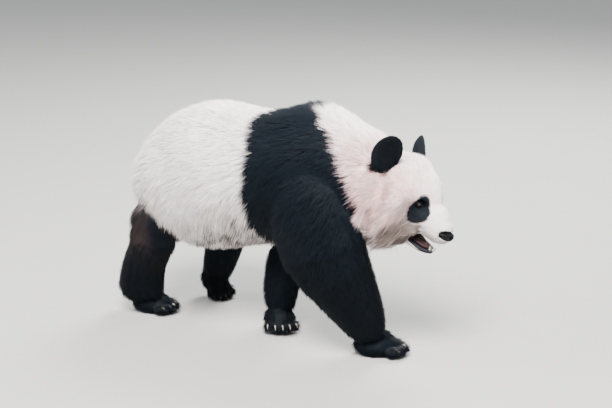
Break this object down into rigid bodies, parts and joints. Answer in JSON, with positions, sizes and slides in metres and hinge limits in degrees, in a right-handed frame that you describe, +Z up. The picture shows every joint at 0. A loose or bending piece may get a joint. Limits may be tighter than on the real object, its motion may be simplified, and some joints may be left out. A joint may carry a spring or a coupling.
{
  "type": "giant panda, walking, life size",
  "caption": "Giant panda in mid walk, standing on its four paws with its head low and turned a little, ears up and mouth slightly open.",
  "frame": {"origin": "middle of the bounding box, on the floor under the paws", "axes": "+X from the rump to the nose, +Y to the animal's left, +Z up"},
  "size_m": [1.2214, 0.4762, 0.7862],
  "materials": {
    "white_coat": "long soft fur",
    "black_coat": "long soft fur",
    "eye": "wet, clear",
    "nose": "moist, pebbled",
    "tongue": "moist"
  },
  "bodies": {
    "root": {"head": "white_coat", "neck": "white_coat", "trunk": "white_coat", "tail": "white_coat", "lower_jaw": "white_coat", "shoulders": "black_coat", "foreleg_left": "black_coat", "foreleg_right": "black_coat", "forepaw_left": "black_coat", "forepaw_right": "black_coat", "hindleg_left": "black_coat", "hindleg_right": "black_coat", "hindpaw_left": "black_coat", "hindpaw_right": "black_coat", "ear_left": "black_coat", "ear_right": "black_coat", "eye_left": "eye", "eye_right": "eye", "nose_pad": "nose", "tongue": "tongue"}
  },
  "joints": []
}
